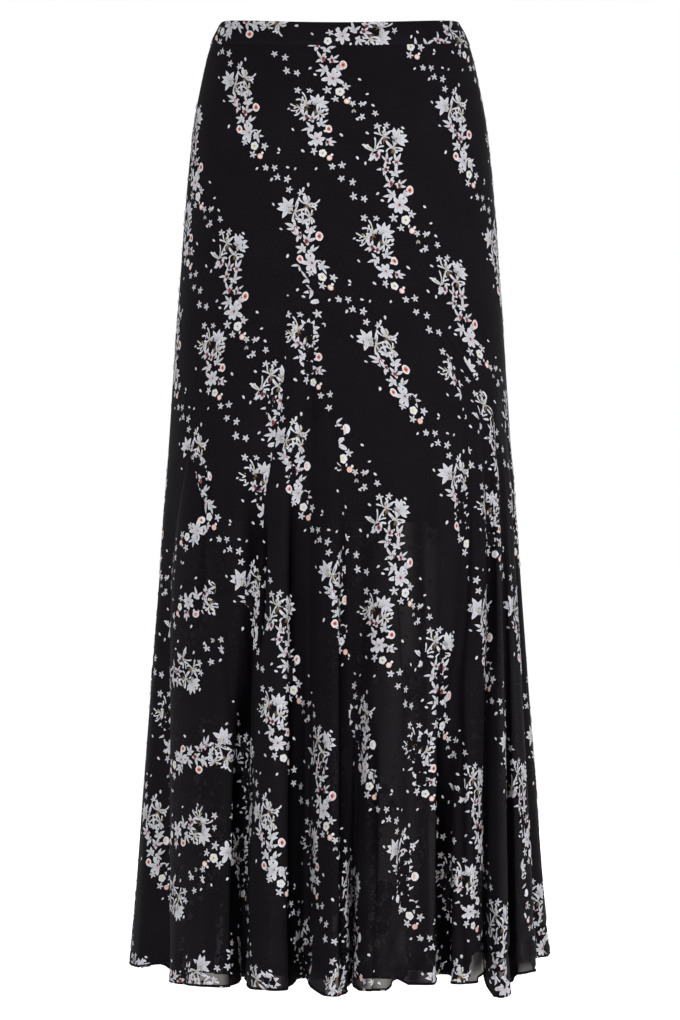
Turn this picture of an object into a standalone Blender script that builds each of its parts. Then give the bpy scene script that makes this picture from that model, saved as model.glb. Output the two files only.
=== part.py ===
"""Ankle-length flared skirt of chiffon over a short lining, hollow and filled out as worn.

The skirt hangs from its waist, so the origin is the middle of the waistband's ring.
X runs to the right as seen from the front, the front faces -Y and Z points up.
Tables hold millimetres; points become metres where the meshes are made.
Left and right are meant as seen from the front.
"""

import math
from collections import namedtuple

import bpy

MM = 0.001

# Cloth walls and the gap that parts two pieces at a seam
PANEL_WALL = 1.2
BAND_WALL = 1.8
LINING_WALL = 1.0
SEAM_GAP = 0.3

# Heights of the main edges
BAND_TOP = 12.0
BAND_FOOT = -13.0
HEM = -1000.0
LINING_HEM = -517.0
HEM_DROP_START = -760.0

# The waist is worn lower at the front's middle than at the sides and back
WAIST_DIP = 8.0
DIP_END = -130.0

# Body of the skirt without its folds, a row for each height
Section = namedtuple("Section", "height half_width front back")
SECTIONS = (
    Section(12.0, 126.0, 84.0, 88.0),
    Section(0.0, 132.5, 89.0, 94.0),
    Section(-13.0, 138.0, 92.5, 98.0),
    Section(-49.0, 147.0, 101.0, 109.0),
    Section(-91.0, 155.0, 107.0, 119.0),
    Section(-134.0, 160.0, 111.0, 126.0),
    Section(-190.0, 165.0, 116.0, 130.0),
    Section(-260.0, 170.0, 122.0, 133.0),
    Section(-388.0, 179.0, 134.0, 141.0),
    Section(-494.0, 185.5, 145.0, 151.0),
    Section(-600.0, 191.0, 156.0, 162.0),
    Section(-706.0, 197.0, 166.0, 173.0),
    Section(-812.0, 203.0, 175.0, 182.0),
    Section(-918.0, 208.5, 183.0, 190.0),
    Section(-1000.0, 212.5, 188.0, 195.0),
)

# Lining: a plain short A-line tube inside the body
LINING_SECTIONS = (
    Section(-13.0, 136.3, 90.8, 96.3),
    Section(-49.0, 145.2, 99.2, 107.2),
    Section(-91.0, 153.0, 105.0, 117.0),
    Section(-134.0, 157.6, 108.6, 123.6),
    Section(-190.0, 161.0, 112.0, 126.0),
    Section(-300.0, 163.5, 114.0, 127.0),
    Section(-400.0, 166.0, 117.0, 128.0),
    Section(-517.0, 169.0, 121.0, 130.0),
)

# Plan of the hem, a row for each flute, in order round the skirt from the left side.
# Each flute has two shoulders with its crest between them, then the valley that follows.
# Points are (across, depth) with depth towards the front. The flute fades out at starts,
# and its hem hangs lower by drop than the level hem.
Flute = namedtuple("Flute", "rise crest fall valley starts drop")
FLUTES = (
    Flute((-220, -28), (-222, 4), (-212, 38), (-172, 62), -446, -14),
    Flute((-177, 106), (-146, 156), (-107, 169), (-101, 124), -446, -6),
    Flute((-91, 172), (-72, 192), (-49, 183), (-36, 144), -290, -5),
    Flute((-22, 182), (-7, 202), (7, 190), (12, 152), -290, 0),
    Flute((19, 188), (32, 200), (46, 189), (60, 164), -360, -5),
    Flute((70, 161), (84, 164), (96, 160), (103, 138), -400, -8),
    Flute((111, 158), (127, 166), (142, 149), (149, 121), -340, -9),
    Flute((156, 144), (165, 155), (174, 141), (175, 100), -400, 6),
    Flute((184, 114), (196, 98), (206, 72), (198, 44), -400, -14),
    Flute((214, 32), (222, -4), (216, -36), (192, -60), -446, -24),
    Flute((196, -94), (188, -124), (165, -139), (149, -117), -446, -8),
    Flute((146, -150), (124, -178), (96, -184), (82, -150), -446, 15),
    Flute((68, -190), (42, -211), (14, -196), (0, -166), -360, 22),
    Flute((-13, -194), (-37, -211), (-60, -194), (-68, -158), -360, 22),
    Flute((-80, -184), (-103, -190), (-125, -166), (-127, -133), -446, 18),
    Flute((-143, -149), (-165, -144), (-182, -116), (-177, -84), -446, 10),
    Flute((-194, -98), (-208, -78), (-213, -58), (-205, -42), -446, -4),
)
POINTS_PER_FLUTE = 4
RING = len(FLUTES) * POINTS_PER_FLUTE
COLUMNS_BETWEEN = 2
COLUMNS_BESIDE_SEAM = 3
VALLEY_RISE = 9.0
FOLD_GROWTH = 0.95

# Points of a curve closer than this count as this far apart
LEAST_STEP = 0.01

# Godets: flared wedges let into the panels. Places round the ring count the points of the
# plan above, so 7.5 lies halfway between the valley of flute 1 and the shoulder of flute 2.
# Each edge is a row for each height with its distance across, from the tip to the hem.
# A godet let into a seam closes the two panels to a seam gap above its tip.
Godet = namedtuple("Godet", "name front in_seam first second edges")
Edge = namedtuple("Edge", "height first second")
GODETS = (
    Godet("godet_front_left", True, False, 3.0, 6.5, (
        Edge(-446, -160, -157), Edge(-510, -174, -141), Edge(-590, -184, -129),
        Edge(-706, -188, -112), Edge(-812, -190, -104), Edge(-1000, -190, -104))),
    Godet("godet_front_centre", True, False, 7.5, 14.5, (
        Edge(-245, -50, -47), Edge(-265, -54, -33), Edge(-303, -56, -17), Edge(-355, -57, -10),
        Edge(-400, -61, -5), Edge(-446, -70, 0), Edge(-510, -80, 6), Edge(-706, -86, 11),
        Edge(-1000, -95, 11))),
    Godet("godet_front_right", True, False, 23.5, 30.5, (
        Edge(-317, 106, 109), Edge(-355, 117, 134), Edge(-400, 131, 158), Edge(-446, 134, 165),
        Edge(-600, 132, 171), Edge(-706, 122, 173), Edge(-1000, 108, 176))),
    Godet("godet_back_right", False, False, 39.5, 43.0, (
        Edge(-446, 160, 157), Edge(-510, 172, 143), Edge(-590, 180, 137),
        Edge(-812, 188, 140), Edge(-1000, 192, 144))),
    Godet("godet_back_centre", False, True, 47.5, 55.0, (
        Edge(-317, 1.5, -1.5), Edge(-355, 20, -20), Edge(-400, 38, -36),
        Edge(-510, 58, -54), Edge(-706, 72, -64), Edge(-1000, 80, -70))),
    Godet("godet_back_left", False, False, 59.0, 62.5, (
        Edge(-446, -143, -146), Edge(-510, -132, -164), Edge(-590, -126, -174),
        Edge(-812, -124, -180), Edge(-1000, -128, -182))),
)
TIP_WIDTH_AT_WAIST = 12.0

# Side seams run down the crests of the two side flutes
LEFT_SIDE = 1.0
RIGHT_SIDE = 37.0
WHOLE_TURN = LEFT_SIDE + RING

# Rows of the panels below the waistband; every godet's tip is one of them
ROWS = (BAND_FOOT, -35.0, -60.0, -95.0, -140.0, -190.0, -245.0, -280.0, -314.0, -317.0,
        -355.0, -400.0, -446.0, -510.0, -590.0, -680.0, -780.0, -880.0, -950.0, HEM)
BAND_ROWS = (BAND_TOP, 0.0, BAND_FOOT)
LINING_ROWS = (BAND_FOOT, -49.0, -91.0, -134.0, -190.0, -300.0, -400.0, LINING_HEM)
TUBE_COLUMNS = 26

# Edges bent more sharply than this are shaded as corners, in degrees
CORNER_ANGLE = 50.0

Finish = namedtuple("Finish", "colour roughness")
CHIFFON = Finish((0.010, 0.008, 0.012, 1.0), 0.8)
BAND_CLOTH = Finish((0.012, 0.010, 0.014, 1.0), 0.75)
LINING_CLOTH = Finish((0.004, 0.004, 0.005, 1.0), 0.6)


def between(low, high, share):
    return low + (high - low) * share


def read_table(rows, height, column):
    """Value of a column at a height, on a smooth curve through the table's rows."""
    heights = [row.height for row in rows]
    values = [getattr(row, column) for row in rows]
    if height >= heights[0]:
        return values[0]
    if height <= heights[-1]:
        return values[-1]
    at = next(i for i in range(len(rows) - 1) if heights[i] >= height >= heights[i + 1])
    slopes = [(values[i + 1] - values[i]) / (heights[i + 1] - heights[i])
              for i in range(len(rows) - 1)]
    start = slopes[at] if at == 0 else 0.5 * (slopes[at - 1] + slopes[at])
    end = slopes[at] if at == len(slopes) - 1 else 0.5 * (slopes[at] + slopes[at + 1])
    span = heights[at + 1] - heights[at]
    return hermite(values[at], values[at + 1], start * span, end * span,
                   (height - heights[at]) / span)


def hermite(begin, end, leave, arrive, share):
    square = share * share
    cube = square * share
    return (begin * (2 * cube - 3 * square + 1) + leave * (cube - 2 * square + share)
            + end * (3 * square - 2 * cube) + arrive * (cube - square))


def body_point(sections, height, turn):
    """Point (across, depth) of an unfolded section; turn is 0 at the front, right is plus."""
    half_width = read_table(sections, height, "half_width")
    reach = "front" if math.cos(turn) >= 0 else "back"
    depth = read_table(sections, height, reach)
    return half_width * math.sin(turn), depth * math.cos(turn)


def turn_at(height, across, front):
    """Turn of the body's point that lies so far across, on the front or on the back."""
    share = across / read_table(SECTIONS, height, "half_width")
    turn = math.asin(max(-1.0, min(1.0, share)))
    return turn if front else math.pi - turn


def plan_point(place):
    """Point of the hem's plan at a whole or half place round the ring."""
    whole = int(math.floor(place)) % RING
    share = place - math.floor(place)
    corners = [hem_corner(whole + step) for step in (-1, 0, 1, 2)]
    if share == 0:
        return corners[1]
    return curve_point(corners, share)


def hem_corner(index):
    flute = FLUTES[(index % RING) // POINTS_PER_FLUTE]
    return flute[index % POINTS_PER_FLUTE]


def curve_point(corners, share):
    """Point between the middle two of four corners, on a curve that fits uneven spacing."""
    before, begin, end, after = corners
    pairs = ((before, begin), (begin, end), (end, after))
    gaps = [max(math.dist(*pair), LEAST_STEP) for pair in pairs]
    point = []
    for axis in (0, 1):
        into = (begin[axis] - before[axis]) / gaps[0]
        along = (end[axis] - begin[axis]) / gaps[1]
        out = (after[axis] - end[axis]) / gaps[2]
        leave = (into * gaps[1] + along * gaps[0]) / (gaps[0] + gaps[1])
        arrive = (along * gaps[2] + out * gaps[1]) / (gaps[1] + gaps[2])
        point.append(hermite(begin[axis], end[axis], leave * gaps[1], arrive * gaps[1], share))
    return tuple(point)


def godet_turns(godet, height):
    """Turns of a godet's two edges; above its tip they are lines inside the panel."""
    tip = godet.edges[0]
    if height > tip.height and godet.in_seam:
        middle = turn_at(height, 0.0, godet.front)
        return middle, middle
    if height >= tip.height:
        share = (height - tip.height) / (BAND_FOOT - tip.height)
        spread = 0.5 * between(abs(tip.second - tip.first), TIP_WIDTH_AT_WAIST, share)
        spread /= read_table(SECTIONS, height, "half_width")
        middle = turn_at(tip.height, 0.5 * (tip.first + tip.second), godet.front)
        return middle - spread, middle + spread
    first = read_table(godet.edges, height, "first")
    second = read_table(godet.edges, height, "second")
    return turn_at(height, first, godet.front), turn_at(height, second, godet.front)


def guide_turns(height):
    """Turns of the lines that carry the seams, by place round the ring."""
    turns = {LEFT_SIDE: -0.5 * math.pi, RIGHT_SIDE: 0.5 * math.pi}
    for godet in GODETS:
        first, second = godet_turns(godet, height)
        turns[godet.first] = first
        turns[godet.second] = second
    turns[WHOLE_TURN] = 1.5 * math.pi
    return turns


def line_places():
    """Places of all lines round the ring, from the left side seam once round."""
    whole = {LEFT_SIDE + step for step in range(RING + 1)}
    edges = {place for godet in GODETS for place in (godet.first, godet.second)}
    return sorted(whole | edges)


def cloth_shares(places, guides):
    """Each line's share of the cloth between the two seam lines beside it, at the hem."""
    shares = {}
    marks = sorted(guides)
    for low, high in zip(marks, marks[1:]):
        inside = [place for place in places if low <= place <= high]
        lengths = [math.dist(plan_point(a), plan_point(b)) for a, b in zip(inside, inside[1:])]
        run = 0.0
        for place, length in zip(inside, lengths):
            shares[place] = (low, high, run / sum(lengths))
            run += length
    last = marks[-1]
    shares[last] = (last, last, 0.0)
    return shares


def line_turn(place, turns):
    low, high, share = SHARES[place]
    return between(turns[low], turns[high], share)


def fold_size(place, height):
    """How far the fold at a place has grown at a height, from none to 1 at the hem."""
    whole = int(math.floor(place)) % RING
    starts = FLUTES[whole // POINTS_PER_FLUTE].starts
    after = FLUTES[((whole + 1) % RING) // POINTS_PER_FLUTE].starts
    starts = between(starts, after, place - math.floor(place))
    share = (starts - height) / (starts - HEM)
    return max(0.0, min(1.0, share)) ** FOLD_GROWTH


def hem_lift(place, height):
    """Rise of the cloth at a place near the hem; valleys ride higher than crests."""
    whole = int(math.floor(place)) % RING
    lifts = []
    for index in (whole, (whole + 1) % RING):
        flute = FLUTES[index // POINTS_PER_FLUTE]
        in_valley = index % POINTS_PER_FLUTE == POINTS_PER_FLUTE - 1
        lifts.append(-flute.drop + (VALLEY_RISE if in_valley else 0.0))
    lift = between(lifts[0], lifts[1], place - math.floor(place))
    share = max(0.0, (HEM_DROP_START - height) / (HEM_DROP_START - HEM))
    return lift * share * share


def hem_pushes():
    """How far the hem's plan lies from the unfolded body, by place."""
    turns = guide_turns(HEM)
    pushes = {}
    for place in PLACES:
        relaxed = body_point(SECTIONS, HEM, line_turn(place, turns))
        drawn = plan_point(place)
        pushes[place] = (drawn[0] - relaxed[0], drawn[1] - relaxed[1])
    return pushes


def ring_at(height):
    """Outer points round the skirt at a height, by place, halfway places among them."""
    turns = guide_turns(height)
    closed = {g.name for g in GODETS if height > g.edges[0].height}
    open_places = [place for place in PLACES[:-1] if not inside_closed(place, closed)]
    corners = {}
    for place in open_places:
        across, depth = body_point(SECTIONS, height, line_turn(place, turns))
        size = fold_size(place, height)
        corners[place] = (across + size * PUSHES[place][0], depth + size * PUSHES[place][1])
    points = {}
    count = len(open_places)
    for at, place in enumerate(open_places):
        following = open_places[(at + 1) % count]
        step = (following - place) % RING
        four = [corners[open_places[(at + k) % count]] for k in (-1, 0, 1, 2)]
        parts = COLUMNS_BESIDE_SEAM if step < 1 else COLUMNS_BETWEEN
        for part in range(parts if step <= 1 else 1):
            share = part / parts
            points[round(place + share * step, 4)] = curve_point(four, share)
    points[WHOLE_TURN] = points[LEFT_SIDE]
    return points


def inside_closed(place, closed):
    return any(g.name in closed and g.first < place < g.second for g in GODETS)


def span_places(first, last):
    """Places of the columns from one seam to the next: each point of the plan and midway."""
    return [place for place in RING_PLACES if first <= place <= last]


def ring_frame(ring, places, at):
    """Direction along the cloth and its outward normal in plan, at one column."""
    before = ring[places[max(at - 1, 0)]]
    after = ring[places[min(at + 1, len(places) - 1)]]
    length = max(math.dist(before, after), LEAST_STEP)
    along = ((after[0] - before[0]) / length, (after[1] - before[1]) / length)
    return along, (-along[1], along[0])


def ring_columns(row):
    """Points of one ring with its directions, for every column that is open at that row."""
    ring = RINGS[row]
    places = sorted(ring)
    loop = [places[-2] - RING] + places + [places[1] + RING]
    wrapped = dict(ring)
    wrapped[loop[0]] = ring[places[-2]]
    wrapped[loop[-1]] = ring[places[1]]
    columns = {}
    for at in range(1, len(loop) - 1):
        along, outward = ring_frame(wrapped, loop, at)
        columns[loop[at]] = (wrapped[loop[at]], along, outward)
    return columns


def cloth_pair(row, place, nudge, raise_by=0.0):
    """Outer and inner point of the cloth at a column, nudged along it to leave a seam gap."""
    point, along, outward = COLUMNS[row][place]
    height = ROWS[row] + hem_lift(place, ROWS[row]) - waist_dip(point, ROWS[row]) + raise_by
    outer = (point[0] + along[0] * nudge, point[1] + along[1] * nudge)
    inner = (outer[0] - outward[0] * PANEL_WALL, outer[1] - outward[1] * PANEL_WALL)
    return world(outer, height), world(inner, height)


def waist_dip(point, height):
    """How far the cloth near the waist hangs below its level ring, all of it at the front."""
    forward = max(0.0, point[1] / read_table(SECTIONS, height, "front"))
    fade = (DIP_END - height) / (DIP_END - BAND_FOOT)
    fade = max(0.0, min(1.0, fade))
    return WAIST_DIP * forward * forward * fade * fade * (3 - 2 * fade)


def world(plan, height):
    return plan[0] * MM, -plan[1] * MM, height * MM


# Lines and rings of the whole cloth, worked out once from the tables
PLACES = line_places()
SHARES = cloth_shares(PLACES, guide_turns(HEM))
PUSHES = hem_pushes()
RINGS = [ring_at(height) for height in ROWS]
RING_PLACES = sorted(RINGS[-1])
COLUMNS = [ring_columns(row) for row in range(len(ROWS))]


class Cloth:
    """A closed wall made of cells, each with an outer face and an inner face behind it."""

    def __init__(self):
        self.numbers = {}
        self.pairs = []
        self.cells = []

    def corner(self, key, pair):
        if key not in self.numbers:
            self.numbers[key] = len(self.pairs)
            self.pairs.append(pair)
        return self.numbers[key]

    def cell(self, top_left, low_left, low_right, top_right):
        self.cells.append((top_left, low_left, low_right, top_right))

    def faces(self):
        count = len(self.pairs)
        edges = {}
        faces = []
        for cell in self.cells:
            faces.append(cell)
            faces.append(tuple(count + corner for corner in reversed(cell)))
            for begin, end in zip(cell, cell[1:] + cell[:1]):
                edges[(begin, end)] = True
        for begin, end in edges:
            if (end, begin) not in edges:
                faces.append((end, begin, count + begin, count + end))
        return faces

    def build(self, name, finish):
        points = [pair[0] for pair in self.pairs] + [pair[1] for pair in self.pairs]
        mesh = bpy.data.meshes.new(name)
        mesh.from_pydata(points, [], self.faces())
        mesh.validate()
        mesh.shade_smooth()
        mesh.set_sharp_from_angle(angle=math.radians(CORNER_ANGLE))
        mesh.materials.append(make_finish(name, finish))
        thing = bpy.data.objects.new(name, mesh)
        bpy.context.scene.collection.objects.link(thing)
        return thing


def make_finish(name, finish):
    material = bpy.data.materials.new(name + "_cloth")
    material.use_nodes = True
    shader = material.node_tree.nodes["Principled BSDF"]
    shader.inputs["Base Color"].default_value = finish.colour
    shader.inputs["Roughness"].default_value = finish.roughness
    shader.inputs["Metallic"].default_value = 0.0
    return material


def add_span(cloth, first, last, top_row, seam_first, seam_last):
    """Cells between two seam lines. A seam pulls its edge in by half the gap."""
    places = span_places(first, last)
    half = 0.5 * SEAM_GAP
    for row in range(top_row, len(ROWS) - 1):
        for left, right in zip(places, places[1:]):
            corners = []
            for at_row, place in ((row, left), (row + 1, left), (row + 1, right), (row, right)):
                nudge = 0.0
                if place == first and seam_first(at_row):
                    nudge = half
                if place == last and seam_last(at_row):
                    nudge = -half
                drop = -SEAM_GAP if at_row == top_row else 0.0
                pair = cloth_pair(at_row, place, nudge, drop)
                corners.append(cloth.corner((place, at_row), pair))
            cloth.cell(*corners)


def tip_row(godet):
    return ROWS.index(godet.edges[0].height)


def always(row):
    return True


def below(godet):
    """A godet's edge is a seam from its tip down."""
    start = tip_row(godet)
    return lambda row: row >= start


def make_panel(name, first, last, godets, seam_first=always, seam_last=always):
    """A panel from the waist seam to the hem, slashed from the hem to each godet's tip."""
    cloth = Cloth()
    begin, begin_seam = first, seam_first
    for godet in godets:
        add_span(cloth, begin, godet.first, 0, begin_seam, below(godet))
        add_bridge(cloth, godet)
        begin, begin_seam = godet.second, below(godet)
    add_span(cloth, begin, last, 0, begin_seam, seam_last)
    return cloth.build(name, CHIFFON)


def add_bridge(cloth, godet):
    """The narrow run of the panel above a godet's tip."""
    for row in range(tip_row(godet)):
        keys = ((godet.first, row), (godet.first, row + 1), (godet.second, row + 1),
                (godet.second, row))
        corners = []
        for place, at_row in keys:
            drop = -SEAM_GAP if at_row == 0 else 0.0
            corners.append(cloth.corner((place, at_row), cloth_pair(at_row, place, 0.0, drop)))
        cloth.cell(*corners)


def make_godet(godet):
    cloth = Cloth()
    add_span(cloth, godet.first, godet.second, tip_row(godet), always, always)
    return cloth.build(godet.name, CHIFFON)


def make_half_tube(name, sections, rows, wall, finish, front, top_gap):
    """Half of a plain tube, front or back, parted at the side seams."""
    cloth = Cloth()
    start = -0.5 * math.pi if front else 0.5 * math.pi
    for row, height in enumerate(rows):
        half_width = read_table(sections, height, "half_width")
        pull = 0.5 * SEAM_GAP / half_width
        for column in range(TUBE_COLUMNS + 1):
            turn = start + math.pi * column / TUBE_COLUMNS
            if column == 0:
                turn += pull
            if column == TUBE_COLUMNS:
                turn -= pull
            outer = body_point(sections, height, turn)
            inner = inset_point(sections, height, turn, wall)
            level = height - waist_dip(outer, height) - (top_gap if row == 0 else 0.0)
            cloth.corner((column, row), (world(outer, level), world(inner, level)))
    for row in range(len(rows) - 1):
        for column in range(TUBE_COLUMNS):
            keys = ((column, row), (column, row + 1), (column + 1, row + 1), (column + 1, row))
            cloth.cell(*(cloth.numbers[key] for key in keys))
    return cloth.build(name, finish)


def inset_point(sections, height, turn, wall):
    """Point behind the outer one, a wall's thickness in along the section's normal."""
    half_width = read_table(sections, height, "half_width")
    depth = read_table(sections, height, "front" if math.cos(turn) >= 0 else "back")
    normal = (math.sin(turn) / half_width, math.cos(turn) / depth)
    length = math.hypot(*normal)
    across, reach = body_point(sections, height, turn)
    return across - wall * normal[0] / length, reach - wall * normal[1] / length


def clear_scene():
    for thing in list(bpy.data.objects):
        bpy.data.objects.remove(thing, do_unlink=True)


def main():
    clear_scene()
    named = {godet.name: godet for godet in GODETS}
    front = [named["godet_front_left"], named["godet_front_centre"], named["godet_front_right"]]
    centre_back = named["godet_back_centre"]
    make_half_tube("waistband_front", SECTIONS, BAND_ROWS, BAND_WALL, BAND_CLOTH, True, 0.0)
    make_half_tube("waistband_back", SECTIONS, BAND_ROWS, BAND_WALL, BAND_CLOTH, False, 0.0)
    make_panel("front_panel", LEFT_SIDE, RIGHT_SIDE, front)
    make_panel("back_panel_right", RIGHT_SIDE, centre_back.first, [named["godet_back_right"]])
    make_panel("back_panel_left", centre_back.second, WHOLE_TURN, [named["godet_back_left"]])
    for godet in GODETS:
        make_godet(godet)
    make_half_tube("lining_front", LINING_SECTIONS, LINING_ROWS, LINING_WALL, LINING_CLOTH,
                   True, SEAM_GAP)
    make_half_tube("lining_back", LINING_SECTIONS, LINING_ROWS, LINING_WALL, LINING_CLOTH,
                   False, SEAM_GAP)


main()
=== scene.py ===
"""Ankle-length chiffon skirt over a short lining: cloth, print, seams, hems, light and camera.

The surface is worked out from the same tables as the solids, with finer rows and columns and
with small creases laid on top. Tables hold millimetres, points become metres in the meshes.
Places round the ring count the points of the hem's plan; left and right are as seen from the
front, which faces -Y.
"""
import math
import random
from collections import namedtuple

import bpy
import numpy as np
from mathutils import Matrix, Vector

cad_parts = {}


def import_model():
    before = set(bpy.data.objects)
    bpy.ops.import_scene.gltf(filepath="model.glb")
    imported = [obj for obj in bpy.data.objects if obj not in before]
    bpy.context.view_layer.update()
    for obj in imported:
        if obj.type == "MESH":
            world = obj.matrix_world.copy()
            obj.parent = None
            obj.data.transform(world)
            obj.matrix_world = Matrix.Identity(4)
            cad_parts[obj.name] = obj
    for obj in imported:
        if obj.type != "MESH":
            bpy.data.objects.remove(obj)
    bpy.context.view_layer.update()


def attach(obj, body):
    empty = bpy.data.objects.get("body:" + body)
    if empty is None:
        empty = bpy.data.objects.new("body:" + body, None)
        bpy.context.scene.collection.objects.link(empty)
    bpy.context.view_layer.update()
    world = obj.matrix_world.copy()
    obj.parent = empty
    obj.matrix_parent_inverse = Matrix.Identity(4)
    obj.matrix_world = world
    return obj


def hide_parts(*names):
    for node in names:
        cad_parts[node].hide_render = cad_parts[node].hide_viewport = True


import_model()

MM = 0.001


def table(kind, *rows):
    return tuple(kind(*row) for row in rows)


# Heights of the main edges
BAND_FOOT = -13.0
HEM = -1000.0
LINING_HEM = -517.0
HEM_DROP_START = -760.0
WAIST_DIP = 8.0
DIP_END = -130.0

# Walls of the solids; the shown panels and lining lie half a wall inside the outer face
PANEL_WALL = 1.2
BAND_WALL = 1.8
LINING_WALL = 1.0

# Body of the skirt without its folds, a row for each height
Section = namedtuple("Section", "height half_width front back")
SECTIONS = table(
    Section,
    (12.0, 126.0, 84.0, 88.0),
    (0.0, 132.5, 89.0, 94.0),
    (-13.0, 138.0, 92.5, 98.0),
    (-49.0, 147.0, 101.0, 109.0),
    (-91.0, 155.0, 107.0, 119.0),
    (-134.0, 160.0, 111.0, 126.0),
    (-190.0, 165.0, 116.0, 130.0),
    (-260.0, 170.0, 122.0, 133.0),
    (-388.0, 179.0, 134.0, 141.0),
    (-494.0, 185.5, 145.0, 151.0),
    (-600.0, 191.0, 156.0, 162.0),
    (-706.0, 197.0, 166.0, 173.0),
    (-812.0, 203.0, 175.0, 182.0),
    (-918.0, 208.5, 183.0, 190.0),
    (-1000.0, 212.5, 188.0, 195.0),
)

# Lining: a plain short A-line tube inside the body
LINING_SECTIONS = table(
    Section,
    (-13.0, 136.3, 90.8, 96.3),
    (-49.0, 145.2, 99.2, 107.2),
    (-91.0, 153.0, 105.0, 117.0),
    (-134.0, 157.6, 108.6, 123.6),
    (-190.0, 161.0, 112.0, 126.0),
    (-300.0, 163.5, 114.0, 127.0),
    (-400.0, 166.0, 117.0, 128.0),
    (-517.0, 169.0, 121.0, 130.0),
)

# Plan of the hem, a row for each flute, in order round the skirt from the left side.
# Each flute has two shoulders with its crest between them, then the valley that follows.
# Points are (across, depth) with depth towards the front. The flute fades out at starts,
# and its hem hangs lower by drop than the level hem.
Flute = namedtuple("Flute", "rise crest fall valley starts drop")
FLUTES = table(
    Flute,
    ((-220, -28), (-222, 4), (-212, 38), (-172, 62), -446, -14),
    ((-177, 106), (-146, 156), (-107, 169), (-101, 124), -446, -6),
    ((-91, 172), (-72, 192), (-49, 183), (-36, 144), -290, -5),
    ((-22, 182), (-7, 202), (7, 190), (12, 152), -290, 0),
    ((19, 188), (32, 200), (46, 189), (60, 164), -360, -5),
    ((70, 161), (84, 164), (96, 160), (103, 138), -400, -8),
    ((111, 158), (127, 166), (142, 149), (149, 121), -340, -9),
    ((156, 144), (165, 155), (174, 141), (175, 100), -400, 6),
    ((184, 114), (196, 98), (206, 72), (198, 44), -400, -14),
    ((214, 32), (222, -4), (216, -36), (192, -60), -446, -24),
    ((196, -94), (188, -124), (165, -139), (149, -117), -446, -8),
    ((146, -150), (124, -178), (96, -184), (82, -150), -446, 15),
    ((68, -190), (42, -211), (14, -196), (0, -166), -360, 22),
    ((-13, -194), (-37, -211), (-60, -194), (-68, -158), -360, 22),
    ((-80, -184), (-103, -190), (-125, -166), (-127, -133), -446, 18),
    ((-143, -149), (-165, -144), (-182, -116), (-177, -84), -446, 10),
    ((-194, -98), (-208, -78), (-213, -58), (-205, -42), -446, -4),
)
POINTS_PER_FLUTE = 4
RING = len(FLUTES) * POINTS_PER_FLUTE
# How much higher the hem rides in a valley, and how evenly a fold grows down the cloth
VALLEY_RISE = 9.0
FOLD_GROWTH = 0.95

# Points of a curve closer than this count as this far apart, and places round the ring this
# close are one place
LEAST_STEP = 0.01
SAME_PLACE = 1e-6
PLACE_DIGITS = 4

# Godets: flared wedges let into the panels. Places round the ring count the points of the
# plan above, so 7.5 lies halfway between the valley of flute 1 and the shoulder of flute 2.
# Each edge is a row for each height with its distance across, from the tip to the hem.
# Above the tip of a godet that is let into a seam, the two panels meet.
Godet = namedtuple("Godet", "name front in_seam first second edges")
Edge = namedtuple("Edge", "height first second")
GODETS = (
    Godet("godet_front_left", True, False, 3.0, 6.5, table(
        Edge,
        (-446, -160, -157), (-510, -174, -141), (-590, -184, -129),
        (-706, -188, -112), (-812, -190, -104), (-1000, -190, -104))),
    Godet("godet_front_centre", True, False, 7.5, 14.5, table(
        Edge,
        (-245, -50, -47), (-265, -54, -33), (-303, -56, -17), (-355, -57, -10),
        (-400, -61, -5), (-446, -70, 0), (-510, -80, 6), (-706, -86, 11),
        (-1000, -95, 11))),
    Godet("godet_front_right", True, False, 23.5, 30.5, table(
        Edge,
        (-317, 106, 109), (-355, 117, 134), (-400, 131, 158), (-446, 134, 165),
        (-600, 132, 171), (-706, 122, 173), (-1000, 108, 176))),
    Godet("godet_back_right", False, False, 39.5, 43.0, table(
        Edge,
        (-446, 160, 157), (-510, 172, 143), (-590, 180, 137),
        (-812, 188, 140), (-1000, 192, 144))),
    Godet("godet_back_centre", False, True, 47.5, 55.0, table(
        Edge,
        (-317, 1.5, -1.5), (-355, 20, -20), (-400, 38, -36),
        (-510, 58, -54), (-706, 72, -64), (-1000, 80, -70))),
    Godet("godet_back_left", False, False, 59.0, 62.5, table(
        Edge,
        (-446, -143, -146), (-510, -132, -164), (-590, -126, -174),
        (-812, -124, -180), (-1000, -128, -182))),
)
# Width at the waist of the closed strip of panel above any other godet's tip
TIP_WIDTH_AT_WAIST = 12.0

# Side seams run down the crests of the two side flutes
LEFT_SIDE = 1.0
RIGHT_SIDE = 37.0
WHOLE_TURN = LEFT_SIDE + RING

# Rows every few millimetres down the cloth, with each godet's tip among them, and points
# between two lines of the ring, fewer beside a seam
ROW_STEP = 7.0
LINE_PARTS = 5
SEAM_PARTS = 4


def between(low, high, share):
    return low + (high - low) * share


def read_table(rows, height, column):
    """Value of a column at a height, on a smooth curve through the table's rows."""
    heights = [row.height for row in rows]
    values = [getattr(row, column) for row in rows]
    if height >= heights[0]:
        return values[0]
    if height <= heights[-1]:
        return values[-1]
    at = next(i for i in range(len(rows) - 1) if heights[i] >= height >= heights[i + 1])
    slopes = [(values[i + 1] - values[i]) / (heights[i + 1] - heights[i])
              for i in range(len(rows) - 1)]
    start = 0.5 * (slopes[max(at - 1, 0)] + slopes[at])
    end = 0.5 * (slopes[at] + slopes[min(at + 1, len(slopes) - 1)])
    span = heights[at + 1] - heights[at]
    return hermite(values[at], values[at + 1], start * span, end * span,
                   (height - heights[at]) / span)


def hermite(begin, end, leave, arrive, share):
    square = share * share
    cube = square * share
    return (begin * (2 * cube - 3 * square + 1) + leave * (cube - 2 * square + share)
            + end * (3 * square - 2 * cube) + arrive * (cube - square))


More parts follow.
